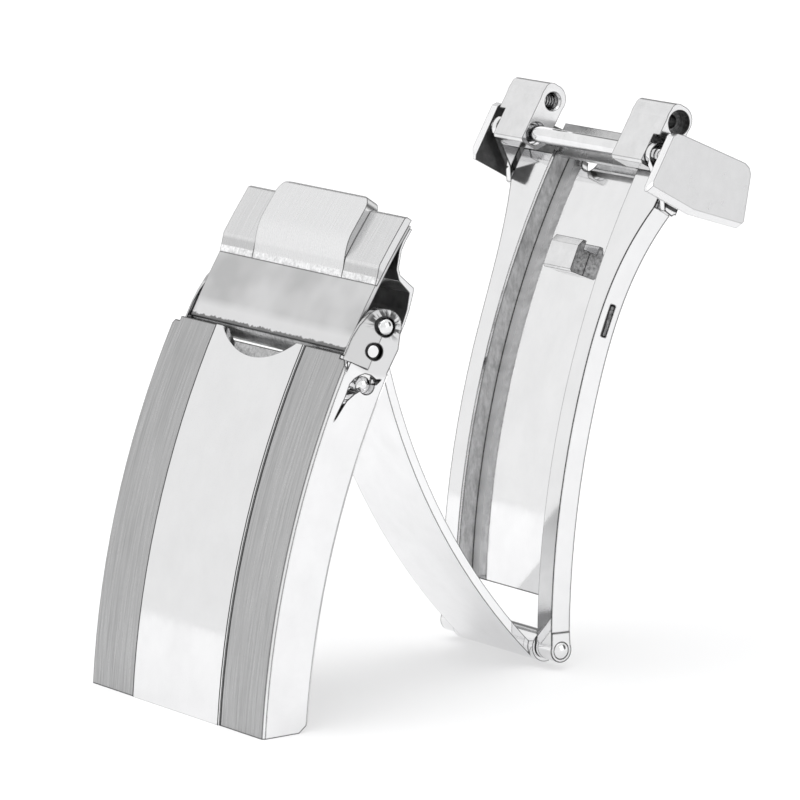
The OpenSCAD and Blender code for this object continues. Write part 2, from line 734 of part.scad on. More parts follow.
module outer_blade() {
  color("gainsboro") place() difference() {
    union() {
      difference() {
        blade_body();
        blade_end_cuts();
      }
      both(lane_half, knuckle_out) {
        translate(fold_open_p) circle(r = knuckle_r, $fn = round_fn);
        polygon([pt2(fold_s, 0), pt2(fold_s + 1, 0.02), pt2(fold_s + 1, rail_depth - 0.02),
          pt2(fold_s, 2 * fold_d)]);
      }
      both(lug_in, lug_out) lug_shape();
      both(lane_half + 1, lug_out) lug_foot();
    }
    bar(fold_open_p, fold_pin_r, -cover_half, cover_half);
    bar(rod_p, rod_r, -cover_half, cover_half);
    // half-round notch in the top edge
    on_blade(plate_end_s) translate([top_notch_x, 0.2, -4])
      cylinder(h = 6, r = top_notch_r, $fn = round_fn);
    // snap slot in each rail's side
    both(rail_half - 0.35, flare_half + 1)
      polygon([pt2(slot_s0, slot_d - slot_h), pt2(slot_s1, slot_d - slot_h),
        pt2(slot_s1, slot_d + slot_h), pt2(slot_s0, slot_d + slot_h)]);
  }
}

hook_s = 21.4;
hook_e = 22.9;

module blade_hook() {
  t = recess_d - hook_h;
  foot_e = hook_e - 0.1;
  foot_d = recess_d - 0.006;
  color("silver") place() across(-hook_w / 2, hook_w / 2)
    polygon([pt2(hook_s, foot_d), pt2(hook_s, t + 0.12), pt2(hook_s + 0.12, t), pt2(hook_e, t),
      pt2(hook_e + 0.4, t + 0.2), pt2(hook_e + 0.4, t + 0.42), pt2(foot_e, t + 0.42),
      pt2(foot_e, foot_d), pt2((hook_s + foot_e) / 2, foot_d)]);
}

module fold_pin() {
  color("lightgray") place() {
    bar(fold_open_p, fold_pin_r, -knuckle_out, knuckle_out);
    dome(fold_open_p, fold_pin_r, 0.2, knuckle_out, 1);
    dome(fold_open_p, fold_pin_r, 0.2, -knuckle_out, -1);
  }
}

rod_end = shroud_half - 0.2;

module end_rod() {
  color("lightgray") place() bar(rod_p, rod_r, -rod_end, rod_end);
}

link_front_d = -2.12;
link_low_s = 27.45;
link_top_s = 31.1;
link_corner_r = 0.45;
screw_s = 30.2;
screw_d = -1.3;
screw_p = pt2(screw_s, screw_d);
link_cut_s = 29.1;
relief_r = 0.8;

// side view of a link's slab, below its rounded head
module link_shape() {
  back = link_front_d + link_t;
  r = link_t / 2;
  polygon([pt2(link_low_s, link_front_d + 0.15), pt2(link_low_s + 0.15, link_front_d),
    pt2(link_top_s - r, link_front_d), pt2(link_top_s - 0.6 * r, link_front_d + 0.15 * r),
    pt2(link_top_s - 0.6 * r, back - 0.15 * r), pt2(link_top_s - r, back),
    pt2(link_low_s + 0.4, back), pt2(link_low_s, back - 0.4)]);
  // tighter corner at the top of the front face
  c = link_corner_r;
  translate(pt2(link_top_s - c, link_front_d + c)) circle(r = c, $fn = round_fn);
  polygon([pt2(link_top_s - r, link_front_d), pt2(link_top_s - c, link_front_d),
    pt2(link_top_s - 0.01, link_front_d + c), pt2(link_top_s, link_front_d + r),
    pt2(link_top_s - r, link_front_d + r)]);
}

module link_solid(x0, x1) {
  head_p = pt2(link_top_s - link_t / 2, link_front_d + link_t / 2);
  across(x0, x1) link_shape();
  bar(head_p, link_t / 2 + 0.03, x0, x1);
}

module link_body(x0, x1, cut0, cut1) {
  difference() {
    union() link_solid(x0, x1);
    // cut away where the outer blade's lug passes
    across(cut0, cut1) polygon([pt2(26, -3.5), pt2(link_cut_s, -3.5), pt2(link_cut_s, 1), pt2(26, 1)]);
    bar(rod_p, rod_r + turn_gap, -cover_half, cover_half);
    bar(screw_p, screw_hole_r, -cover_half, cover_half);
  }
}

module end_link_right() {
  color("silver") place() difference() {
    link_body(link_in, link_out, lug_in - side_gap, link_out + 1);
    bar(screw_p, screw_seat_r, link_out - 0.8, link_out + 1);
    bar(rod_p, relief_r * 0.8, link_in - 1, link_in + 0.5);
  }
}

module end_link_left() {
  color("silver") place() difference() {
    link_body(-link_out, -link_in, -link_out - 1, -lug_in + side_gap);
    // lead-in of the thread, and relief round the rod
    translate([-link_in + 0.01, screw_p[0], screw_p[1]]) rotate([0, -90, 0])
      cylinder(h = 0.25, r1 = screw_hole_r + 0.17, r2 = screw_hole_r, $fn = round_fn);
    bar(rod_p, relief_r * 0.8, -link_in - 0.5, -link_in + 1);
  }
}

cheek_bevel = 0.35;

// side view of an end cheek, with its lower edge raised by g
module cheek_shape(g) {
  polygon([pt2(29.2, -1.95), pt2(26.3 + g, -1.95), pt2(26.05 + g, -1.85), pt2(25.98 + g, 1.2),
    pt2(cheek_low_s - 0.5 + g, cheek_low_d - 0.05), pt2(cheek_low_s, cheek_low_d),
    pt2(cheek_top_s, cheek_top_d), pt2(cheek_top_s + 0.27, 3.38), pt2(30.12, 3.0),
    pt2(29.55, -1.35), pt2(29.45, -1.75)]);
}

// end cheek with a bevel along the lower edge of its outer face
module cheek(side) {
  outer = side * shroud_half;
  bevelled = side * (shroud_half - cheek_bevel);
  inner = side * cheek_in;
  difference() {
    union() {
      hull() {
        across(min(outer, outer - side * eps), max(outer, outer - side * eps)) cheek_shape(cheek_bevel);
        across(min(bevelled, bevelled + side * eps), max(bevelled, bevelled + side * eps)) cheek_shape(0);
      }
      across(min(inner, bevelled + side * eps), max(inner, bevelled + side * eps)) cheek_shape(0);
    }
    bar(rod_p, rod_r + turn_gap, min(inner - side, side * (rod_end + side_gap)),
      max(inner - side, side * (rod_end + side_gap)));
  }
}

module shroud_cheek_right() { color("silver") place() cheek(1); }
module shroud_cheek_left() { color("silver") place() cheek(-1); }

web_low_s = 27.7;
web_s0 = 28.25;
web_s1 = 29.05;
web_top_s = 29.55;
web_front_d = 0.05;
web_t = 0.45;

module web_shape(low, top) {
  polygon([pt2(low, web_front_d), pt2(top, web_front_d), pt2(top, web_front_d + web_t),
    pt2(low, web_front_d + web_t)]);
}

// strip behind the cross rod that joins the end cheeks, wider in its middle
module shroud_web() {
  color("gray") place() {
    across(-cheek_in, cheek_in) web_shape(web_s0, web_s1);
    across(-link_in + 0.05, link_in - 0.05) web_shape(web_s0, web_top_s);
    across(-lane_half + 0.2, lane_half - 0.2) web_shape(web_low_s, web_s0 + 0.1);
  }
}

cover_shell();
cover_center_strip();
hook_keeper();
keeper_bar();
catch_spring();
blade_pin();
catch_pin();
spring_bar_tube();
spring_bar_plunger_left();
spring_bar_plunger_right();
spring_bar_spring();
catch_plate();
catch_back_plate();
catch_lobe_left();
catch_lobe_right();
catch_lobe_center();
inner_blade();
outer_blade();
blade_hook();
fold_pin();
end_rod();
end_link_left();
end_link_right();
shroud_cheek_left();
shroud_cheek_right();
shroud_web();
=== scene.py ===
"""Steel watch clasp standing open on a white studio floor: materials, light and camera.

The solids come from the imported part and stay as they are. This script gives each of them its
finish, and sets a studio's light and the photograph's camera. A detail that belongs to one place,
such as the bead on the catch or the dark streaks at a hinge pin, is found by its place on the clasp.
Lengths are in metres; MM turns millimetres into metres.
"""

import math

import bpy
from mathutils import Matrix, Vector

MM = 0.001
WHITE = (1.0, 1.0, 1.0, 1.0)


def grey(value):
    return (value, value, value * 1.006, 1.0)


# Helpers for node trees

BEVEL_SAMPLES = 8
EDGE = 0.07 * MM
SIDE_START, SIDE_END = 0.8, 0.9


class Nodes:
    """Short helpers round one node tree."""

    def __init__(self, tree):
        self.tree = tree

    def add(self, kind, **values):
        node = self.tree.nodes.new(kind)
        for key, value in values.items():
            setattr(node, key, value)
        return node

    def feed(self, socket, value):
        """Sets a socket to a number, vector or colour, or links another node's output to it."""
        if isinstance(value, (int, float, tuple)):
            socket.default_value = value
        else:
            self.tree.links.new(value, socket)

    def math(self, kind, a, b=0.0):
        node = self.add("ShaderNodeMath", operation=kind)
        self.feed(node.inputs[0], a)
        self.feed(node.inputs[1], b)
        return node.outputs["Value"]

    def total(self, a, b):
        return self.math("ADD", a, b)

    def product(self, first, *others):
        for other in others:
            first = self.math("MULTIPLY", first, other)
        return first

    def opposite(self, mask):
        return self.math("SUBTRACT", 1.0, mask)

    def dot(self, a, b):
        node = self.add("ShaderNodeVectorMath", operation="DOT_PRODUCT")
        self.feed(node.inputs[0], a)
        self.feed(node.inputs[1], b)
        return node.outputs["Value"]

    def split(self, vector):
        node = self.add("ShaderNodeSeparateXYZ")
        self.feed(node.inputs["Vector"], vector)
        return node.outputs

    def spread(self, value, low, high, start=0.3, end=0.7, kind="LINEAR"):
        """Maps start..end of a value onto low..high."""
        node = self.add("ShaderNodeMapRange", interpolation_type=kind)
        for name, number in (("From Min", start), ("From Max", end), ("To Min", low), ("To Max", high)):
            node.inputs[name].default_value = number
        self.feed(node.inputs["Value"], value)
        return node.outputs["Result"]

    def blend(self, mask, a, b):
        """Number a where the mask is 0 and b where it is 1."""
        return self.total(self.product(a, self.opposite(mask)), self.product(b, mask))

    def mix(self, mask, a, b):
        """Colour a where the mask is 0 and b where it is 1."""
        node = self.add("ShaderNodeMix", data_type="RGBA")
        self.feed(node.inputs["Factor"], mask)
        self.feed(node.inputs["A"], a)
        self.feed(node.inputs["B"], b)
        return node.outputs["Result"]

    def shades(self, value, first, second, start=0.3, end=0.7):
        """Greys from first to second as a texture goes from start to end."""
        return self.mix(self.spread(value, 0.0, 1.0, start, end), grey(first), grey(second))


class Surface(Nodes):
    """A new material, with helpers for textures and for places on the clasp."""

    def __init__(self, name):
        self.material = bpy.data.materials.new(name)
        self.material.use_nodes = True
        super().__init__(self.material.node_tree)
        self.shader = self.tree.nodes["Principled BSDF"]

    def object_place(self):
        """The point's place on the open clasp; it stays the same when the clasp moves."""
        return self.add("ShaderNodeTexCoord").outputs["Object"]

    def noise_at(self, vector, detail, rough=0.5):
        texture = self.add("ShaderNodeTexNoise")
        texture.inputs["Scale"].default_value = 1.0
        texture.inputs["Detail"].default_value = detail
        texture.inputs["Roughness"].default_value = rough
        self.feed(texture.inputs["Vector"], vector)
        return texture.outputs["Fac"]

    def noise(self, scale, detail=3.0, rough=0.5, rotation=(0.0, 0.0, 0.0)):
        """Noise with scale features per metre, one number or one for each axis."""
        mapping = self.add("ShaderNodeMapping")
        mapping.inputs["Scale"].default_value = scale if isinstance(scale, tuple) else (scale,) * 3
        mapping.inputs["Rotation"].default_value = rotation
        self.feed(mapping.inputs["Vector"], self.object_place())
        return self.noise_at(mapping.outputs["Vector"], detail, rough)

    def x(self):
        return self.split(self.object_place())["X"]

    def off_centre(self):
        return self.math("ABSOLUTE", self.x())

    def side_offset(self, point):
        """Offset in the side view from a point, given and returned as (y, z)."""
        place = self.split(self.object_place())
        return [self.math("SUBTRACT", place[axis], start) for axis, start in zip("YZ", point)]

    def from_axis(self, axis):
        """Distance from a line across the clasp through the side view point axis."""
        dy, dz = self.side_offset(axis)
        return self.math("SQRT", self.total(self.product(dy, dy), self.product(dz, dz)))

    def along(self, start, direction):
        """Distance from the side view point start along a side view direction."""
        dy, dz = self.side_offset(start)
        return self.total(self.product(dy, direction[0]), self.product(dz, direction[1]))

    def streaks(self, axis, turns, scale):
        """Noise drawn out along lines that run away from an axis across the clasp."""
        dy, dz = self.side_offset(axis)
        joined = self.add("ShaderNodeCombineXYZ")
        self.feed(joined.inputs["X"], self.product(self.math("ARCTAN2", dy, dz), turns))
        self.feed(joined.inputs["Y"], self.product(self.from_axis(axis), scale))
        return self.noise_at(joined.outputs["Vector"], 4.0)

    def below(self, value, limit):
        return self.math("LESS_THAN", value, limit)

    def above(self, value, limit):
        return self.math("GREATER_THAN", value, limit)

    def within(self, value, low, high, soft):
        """1 where low < value < high, with soft ends, and 0 elsewhere."""
        return self.product(self.spread(value, 0.0, 1.0, low - soft, low),
                            self.spread(value, 1.0, 0.0, high, high + soft))

    def face_normal(self):
        return self.add("ShaderNodeNewGeometry").outputs["True Normal"]

    def facing(self, direction, start=0.3, end=0.5):
        """1 on faces that look in the given direction."""
        return self.spread(self.dot(self.face_normal(), direction), 0.0, 1.0, start, end)

    def side_faces(self):
        """1 on faces that look sideways, along X, and 0 on the others."""
        sideways = self.math("ABSOLUTE", self.split(self.face_normal())["X"])
        return self.spread(sideways, 0.0, 1.0, SIDE_START, SIDE_END)

    def rounded_normal(self, radius):
        rounded = self.add("ShaderNodeBevel", samples=BEVEL_SAMPLES)
        rounded.inputs["Radius"].default_value = radius
        return rounded.outputs["Normal"]

    def edge_line(self, radius, start, end):
        """1 in a thin line along each sharp edge, where it is rounded off, and 0 elsewhere."""
        plain = self.add("ShaderNodeNewGeometry").outputs["Normal"]
        return self.spread(self.dot(self.rounded_normal(radius), plain), 1.0, 0.0, end, start)

    def bump(self, height, strength, depth):
        """Surface relief, on top of edges that are rounded off a little."""
        node = self.add("ShaderNodeBump")
        node.inputs["Strength"].default_value = strength
        node.inputs["Distance"].default_value = depth
        self.feed(node.inputs["Height"], height)
        self.feed(node.inputs["Normal"], self.rounded_normal(EDGE))
        self.feed(self.shader.inputs["Normal"], node.outputs["Normal"])

    def metal(self, color, rough):
        self.shader.inputs["Metallic"].default_value = 1.0
        self.feed(self.shader.inputs["Base Color"], color)
        self.feed(self.shader.inputs["Roughness"], rough)

    def seen_ray(self):
        """1 for what the camera sees, itself or in a metal's reflection, and 0 for other light."""
        path = self.add("ShaderNodeLightPath")
        return self.math("MAXIMUM", path.outputs["Is Camera Ray"], path.outputs["Is Glossy Ray"])


# Places on the open clasp, from the part's source; pairs are (y, z) in the side view

COVER_AXIS = (35.6436 * MM, -5.5640 * MM)
COVER_R = 52.02 * MM
CATCH_PIN = (-8.2563 * MM, 19.5986 * MM)
CATCH_PIN_R = 0.34 * MM
BLADE_PIN = (-7.5279 * MM, 20.8289 * MM)
BLADE_PIN_R = 0.42 * MM
CATCH_STEP = (-7.7576 * MM, 23.1138 * MM)
CATCH_UP = (0.5593, 0.8290)
SCREW = (12.1996 * MM, 29.4145 * MM)

# Textures and steels that several finishes share; a pair of greys is two linear levels

SATIN = (0.78, 0.66)
MIRROR = (0.84, 0.79)
MIRROR_ROUGH = (0.04, 0.1)
HAIR_ROUGH = (0.0, 0.02)
BRUSH_RANGE = (0.36, 0.64)
BLAST_RANGE = (0.38, 0.62)
# the thin dark line of painted shade along edges: its width, its grey, and where it starts and ends
LINE = 0.09 * MM
LINE_LEVEL = 0.05
LINE_START, LINE_END = 0.997, 0.955


def haze(n):
    return n.noise(420, 4.0, 0.6)


def hairlines(n):
    return n.noise((9000, 260, 260), 2.0, 0.6, (0.3, 0.1, 0.6))


def waves(n):
    return n.noise(330, 2.0)


def clouds(n, scale, detail=4.0):
    return n.noise(scale, detail, 0.6)


def strokes(n):
    """Straight brush lines that run up the clasp."""
    fine = n.noise((7000, 200, 200), 4.0, 0.75)
    broad = n.noise((1540, 120, 120), 3.0, 0.6)
    return n.total(n.product(fine, 0.8), n.product(broad, 0.2))


def blasted(n, light, dark):
    """Colour and relief of coarse, unpolished steel."""
    grain = n.noise(5200, 4.0, 0.75)
    patch = n.noise(900, 3.0, 0.6)
    mixed = n.total(n.product(grain, 0.7), n.product(patch, 0.3))
    return n.shades(mixed, dark, light, *BLAST_RANGE), mixed


def mirror(n):
    """Colour and roughness of polished steel with a faint haze."""
    soft = haze(n)
    return n.shades(soft, *MIRROR), n.spread(soft, *MIRROR_ROUGH)


def polish_relief(n, hair):
    """The slow waves of hand polishing under very shallow hairlines."""
    return n.total(n.product(hair, 0.03), waves(n))


def edge_shaded(n, color, strength, radius=LINE):
    """The colour with a thin dark line of painted shade along the edges, where they are rounded off."""
    line = n.product(n.edge_line(radius, LINE_START, LINE_END), strength)
    return n.mix(line, color, grey(LINE_LEVEL))


def polished(name, light=0.87, dark=0.81, line=0.9):
    """Mirror steel with faint polishing haze, hairlines and soft smears."""
    n = Surface(name)
    soft = haze(n)
    hair = hairlines(n)
    n.metal(edge_shaded(n, n.shades(soft, light, dark), line),
            rough=n.total(n.spread(soft, 0.033, 0.099), n.spread(hair, 0.0, 0.03)))
    n.bump(polish_relief(n, hair), strength=0.5, depth=0.012 * MM)
    return n.material


def satin(name, light, dark, rough=0.2):
    """Softly finished steel, cloudy, with fine marks from tumbling."""
    n = Surface(name)
    cloud = clouds(n, 700, 5.0)
    grain = n.noise(9000, 3.0, 0.7)
    n.metal(edge_shaded(n, n.shades(cloud, light, dark), 0.7),
            rough=n.total(n.spread(cloud, rough * 0.7, rough * 1.3), n.spread(grain, 0.0, 0.06)))
    n.bump(grain, strength=0.12, depth=0.01 * MM)
    return n.material


def dark_spring(name):
    """Spring steel, darker and duller than the rest."""
    n = Surface(name)
    cloud = clouds(n, 900, 5.0)
    n.metal(n.shades(cloud, 0.42, 0.3), rough=n.spread(cloud, 0.25, 0.42))
    n.bump(cloud, strength=0.1, depth=0.01 * MM)
    return n.material


# Finishes of single pieces

SKIN_DEPTH = 0.03 * MM
SEAT_DEPTH = 0.6 * MM
UNDER_STRIP = 4.535 * MM
# painted shade in the gap beside the strip, as distances from the middle plane
GAP_SHADE_BAND = (4.61 * MM, 4.73 * MM)
GAP_SHADE_SOFT = 0.015 * MM
COVER_LINE = 0.13 * MM
COARSE_ROUGH = 0.5
LANE_GREYS = (0.3, 0.45)
LANE_ROUGH = (0.37, 0.24)
# width of the painted shade ring round each hinge pin, and the grey of the painted shade in the gaps
PIN_RING = 0.13 * MM
GAP_LEVEL = 0.03
EAR_INSIDE = 8.1 * MM
EAR_REACH = (2.5 * MM, 2.8 * MM)
EAR_LEVEL = 0.66
STREAK_REACH = (0.75 * MM, 1.1 * MM)
STREAK_LEVEL = 0.1
STREAK_BELOW = -0.5 * MM
SMEAR_RANGE = (0.48, 0.58)


def ear_tone(n, color, from_pin):
    """The ears' duller steel, darker just above the upper pin and broken there by streaks; also the
    streaks' relief.
    """
    ear = n.product(n.above(n.off_centre(), EAR_INSIDE), n.spread(from_pin, 1.0, 0.0, *EAR_REACH))
    smears = n.spread(n.streaks(BLADE_PIN, turns=3.0, scale=900.0), 0.0, 1.0, *SMEAR_RANGE)
    upper = n.spread(n.along(BLADE_PIN, CATCH_UP), 0.0, 1.0, STREAK_BELOW, 0.0)
    streaked = n.product(n.spread(from_pin, 1.0, 0.0, *STREAK_REACH), ear, upper)
    color = n.mix(ear, color, grey(EAR_LEVEL))
    color = n.mix(n.product(streaked, n.opposite(smears)), color, grey(STREAK_LEVEL))
    return color, n.product(smears, streaked)


def painted_gap_shade(n, from_pin):
    """Painted shade: 1 in the hairline gap beside the strip, and in the rings round both hinge pins."""
    shaded_gap_mask = n.within(n.x(), *GAP_SHADE_BAND, GAP_SHADE_SOFT)
    rings = n.math("MAXIMUM", n.below(n.from_axis(CATCH_PIN), CATCH_PIN_R + PIN_RING),
                   n.below(from_pin, BLADE_PIN_R + PIN_RING))
    return n.math("MAXIMUM", shaded_gap_mask, rings)


def cover_steel(name):
    """Brushed lanes on the outer skin, polished sides, coarse steel under the centre strip, and painted
    shade in the gaps beside the strip and round the hinge pins.
    """
    n = Surface(name)
    lines = strokes(n)
    clean, clean_rough = mirror(n)
    coarse, coarse_grain = blasted(n, light=0.5, dark=0.26)
    level = n.from_axis(COVER_AXIS)
    from_pin = n.from_axis(BLADE_PIN)
    outside = n.spread(level, 0.0, 1.0, COVER_R - 2 * SKIN_DEPTH, COVER_R - SKIN_DEPTH)
    lanes = n.product(outside, n.opposite(n.side_faces()))
    middle = n.product(n.below(n.off_centre(), UNDER_STRIP), n.above(level, COVER_R - SEAT_DEPTH))
    color, streak_relief = ear_tone(n, clean, from_pin)
    color = n.mix(lanes, color, n.shades(lines, *LANE_GREYS, *BRUSH_RANGE))
    # painted shade in the gap beside the strip and in the rings round the hinge pins
    color = n.mix(painted_gap_shade(n, from_pin), n.mix(middle, color, coarse), grey(GAP_LEVEL))
    rough = n.blend(lanes, clean_rough, n.spread(lines, *LANE_ROUGH, *BRUSH_RANGE))
    n.metal(edge_shaded(n, color, 1.0, COVER_LINE), rough=n.blend(middle, rough, COARSE_ROUGH))
    relief = n.total(n.product(lines, lanes, 0.5), n.product(coarse_grain, middle, 2.0))
    n.bump(n.total(relief, streak_relief), strength=0.7, depth=0.02 * MM)
    return n.material


STRIP_GREYS = (0.8, 0.76)
STRIP_LINE = 0.05 * MM
# painted shade line near the lanes, as distances from the middle plane
HAIRLINE = (4.4 * MM, 4.47 * MM)
HAIRLINE_SOFT = 0.01 * MM
HAIRLINE_LEVEL = 0.04


def strip_steel(name):
    """Polished strip with a dark line of painted shade near the lanes, where the gap to them lies."""
    n = Surface(name)
    soft = haze(n)
    hair = hairlines(n)
    # painted shade in the gap towards the lanes
    shaded_gap_mask = n.within(n.off_centre(), *HAIRLINE, HAIRLINE_SOFT)
    color = n.mix(shaded_gap_mask, n.shades(soft, *STRIP_GREYS), grey(HAIRLINE_LEVEL))
    n.metal(edge_shaded(n, color, 0.6, STRIP_LINE),
            rough=n.total(n.spread(soft, *MIRROR_ROUGH), n.spread(hair, *HAIR_ROUGH)))
    n.bump(polish_relief(n, hair), strength=0.1, depth=0.01 * MM)
    return n.material


# places on the catch, as distances up from its step
BEAD = (0.02 * MM, 0.42 * MM)
BEAD_SOFT = 0.05 * MM
BEAD_WANDER = 0.12 * MM
BEAD_ROUGH = 0.45
# painted shade band on the slope above the bead
SLOPE = (0.42 * MM, 0.75 * MM)
SLOPE_SOFT = 0.15 * MM
SLOPE_SHADE_LEVEL = 0.36
LOBE_ROUGH = (0.33, 0.22)
LOBE_SIDE_LEVEL = 0.66
LOBE_SIDE_ROUGH = 0.25


def lobe_steel(name, light, dark, relief, painted_shade):
    """Brushed steel with a coarse welded bead along its foot and painted shade on the slope above that.
    """
    n = Surface(name)
    lines = strokes(n)
    coarse, coarse_grain = blasted(n, light=0.86, dark=0.52)
    side = n.side_faces()
    up = n.along(CATCH_STEP, CATCH_UP)
    wander = n.product(n.noise(900), BEAD_WANDER)
    bead = n.within(n.total(up, wander), *BEAD, BEAD_SOFT)
    slope = n.within(up, *SLOPE, SLOPE_SOFT)
    color = n.mix(side, n.shades(lines, dark, light, *BRUSH_RANGE), grey(LOBE_SIDE_LEVEL))
    # painted shade on the slope, with the given strength
    color = n.mix(n.product(slope, painted_shade), color, grey(SLOPE_SHADE_LEVEL))
    rough = n.blend(side, n.spread(lines, *LOBE_ROUGH, *BRUSH_RANGE), LOBE_SIDE_ROUGH)
    n.metal(edge_shaded(n, n.mix(bead, color, coarse), 0.9), rough=n.blend(bead, rough, BEAD_ROUGH))
    n.bump(n.total(n.product(lines, relief), n.product(coarse_grain, bead, 1.5)),
           strength=0.7, depth=0.02 * MM)
    return n.material


UNDERSIDE = (-3.85 * MM, -3.8 * MM)
# painted shade along the lower edge, in the gap over the cover
DARK_EDGE = (-3.66 * MM, -3.6 * MM)
DARK_EDGE_WANDER = 0.1 * MM
DARK_EDGE_STRENGTH = 0.85
DARK_EDGE_LEVEL = 0.08
# painted highlight band just above the lower edge
GLOW = (-3.6 * MM, -3.1 * MM)
GLOW_SOFT = 0.5 * MM
GLOW_STRENGTH = 0.55
GLOW_LEVEL = 0.72
RUB_RANGE = (0.35, 0.65)
RUB_GREYS = (0.57, 0.42)
RUB_ROUGH = (0.3, 0.44)
GRAIN_ROUGH = (-0.05, 0.05)


def catch_steel(name):
    """Dull steel with rubbed patches, coarse dark steel at the edge down at the hinge, painted shade
    along that edge, and a painted highlight band above it.
    """
    n = Surface(name)
    rub = n.noise((230, 260, 330), 2.0)
    grain = n.noise(14000, 4.0, 0.8)
    coarse, coarse_grain = blasted(n, light=0.5, dark=0.24)
    wander = n.product(n.spread(n.noise(2600, 4.0, 0.7), -1.0, 1.0), DARK_EDGE_WANDER)
    up = n.along(CATCH_STEP, CATCH_UP)
    under = n.spread(up, 1.0, 0.0, *UNDERSIDE)
    # painted shade along the lower edge, over the gap to the cover
    edge = n.spread(n.total(up, wander), DARK_EDGE_STRENGTH, 0.0, *DARK_EDGE)
    # painted highlight band above the lower edge
    glow = n.product(n.within(up, *GLOW, GLOW_SOFT), GLOW_STRENGTH)
    color = n.mix(glow, n.shades(rub, *RUB_GREYS, *RUB_RANGE), grey(GLOW_LEVEL))
    color = n.mix(under, n.mix(edge, color, grey(DARK_EDGE_LEVEL)), coarse)
    n.metal(edge_shaded(n, color, 0.7),
            rough=n.total(n.spread(rub, *RUB_ROUGH), n.spread(grain, *GRAIN_ROUGH)))
    n.bump(n.total(grain, n.product(coarse_grain, under, 4.0)), strength=0.4, depth=0.015 * MM)
    return n.material


BACK_LEVEL = 0.74
BACK_ROUGH = 0.16
BACK_SHADE_GREYS = (0.16, 0.07)
DULL_ROUGH = 0.45
TOWARDS_CATCH = (0.0, -CATCH_UP[1], CATCH_UP[0])


def back_plate_steel(name):
    """Bent sheet, polished outside, rougher and darkened with painted shade on the side that faces the
    catch.
    """
    n = Surface(name)
    cloud = clouds(n, 900)
    inner = n.facing(TOWARDS_CATCH)
    # painted shade on the side that faces the catch
    color = n.mix(inner, grey(BACK_LEVEL), n.shades(cloud, *BACK_SHADE_GREYS))
    n.metal(edge_shaded(n, color, 0.9), rough=n.blend(inner, BACK_ROUGH, DULL_ROUGH))
    n.bump(cloud, strength=0.2, depth=0.01 * MM)
    return n.material


# places on the outer blade, as distances from its middle plane
LANE_FLOOR = 4.04 * MM
LANE_FLOOR_EDGE = (2.9 * MM, 3.9 * MM)
WALLS = 4.3 * MM
SLOTS = (WALLS, 5.44 * MM)
SLOT_SOFT = 0.01 * MM
BLADE_LINE = 0.15 * MM
CUT_ROUGH = 0.3
FLOOR_EDGE_ROUGH = 0.4
WALL_GREYS = (0.36, 0.6)
WALL_RANGE = (0.35, 0.65)


def outer_blade_steel(name):
    """Polished rails and plate; lane walls with coarse tool marks, and rough pressed slots, darkened
    with painted shade.
    """
    n = Surface(name)
    clean, clean_rough = mirror(n)
    hair = hairlines(n)
    marks = n.noise((600, 3200, 1300), 4.0, 0.75, (0.35, 0.0, 0.0))
    coarse, coarse_grain = blasted(n, light=0.45, dark=0.05)
    away = n.off_centre()
    side = n.side_faces()
    walls = n.product(side, n.below(away, WALLS))
    # the slots' coarse grain is the steel's own; their darkness is painted shade in the recess
    slots = n.product(side, n.within(away, *SLOTS, SLOT_SOFT))
    color = n.mix(walls, clean, n.shades(marks, *WALL_GREYS, *WALL_RANGE))
    floor_rough = n.product(n.spread(away, 0.0, FLOOR_EDGE_ROUGH, *LANE_FLOOR_EDGE),
                            n.below(away, LANE_FLOOR))
    rough = n.total(n.blend(n.math("MAXIMUM", walls, slots), clean_rough, CUT_ROUGH),
                    n.total(floor_rough, n.spread(hair, *HAIR_ROUGH)))
    n.metal(edge_shaded(n, n.mix(slots, color, coarse), 1.0, BLADE_LINE), rough=rough)
    n.bump(n.total(n.blend(walls, polish_relief(n, hair), marks), n.product(coarse_grain, slots)),
           strength=0.5, depth=0.012 * MM)
    return n.material


HOOK_ROUGH = (0.12, 0.2)
HOOK_SIDE_ROUGH = 0.4


def hook_steel(name):
    """Satin outside, coarse and dark on the cut sides."""
    n = Surface(name)
    cloud = clouds(n, 700, 5.0)
    coarse, coarse_grain = blasted(n, light=0.55, dark=0.1)
    side = n.side_faces()
    n.metal(edge_shaded(n, n.mix(side, n.shades(cloud, *SATIN), coarse), 0.8),
            rough=n.blend(side, n.spread(cloud, *HOOK_ROUGH), HOOK_SIDE_ROUGH))
    n.bump(n.total(cloud, n.product(coarse_grain, side)), strength=0.4, depth=0.015 * MM)
    return n.material


INWARD = (-0.4, -0.15)
BEVEL_LEVEL = 0.86
CHEEK_GREYS = (0.64, 0.61)
CHEEK_ROUGH = (0.22, 0.28)
CHEEK_SHADE_GREYS = (0.14, 0.07)


def cheek_steel(name):
    """Even satin outside, polished bevel, and rougher steel with painted shade on the faces that look
    inwards.
    """
    n = Surface(name)
    cloud = clouds(n, 1500)
    outward = n.product(n.split(n.face_normal())["X"], n.math("SIGN", n.x()))
    inner = n.spread(outward, 1.0, 0.0, *INWARD)
    color = n.mix(n.side_faces(), grey(BEVEL_LEVEL), n.shades(cloud, *CHEEK_GREYS))
    # painted shade on the faces that look inwards
    color = n.mix(inner, color, n.shades(cloud, *CHEEK_SHADE_GREYS))
    n.metal(edge_shaded(n, color, 0.5), rough=n.blend(inner, n.spread(cloud, *CHEEK_ROUGH), DULL_ROUGH))
    n.bump(cloud, strength=0.12, depth=0.008 * MM)
    return n.material


DOWN = (0.0, 0.0, -1.0)
BETWEEN_EARS = 7.5 * MM
PIN_GREYS = (0.84, 0.74)
PIN_ROUGH = (0.05, 0.1)
PIN_SHADE_GREYS = (0.3, 0.12)


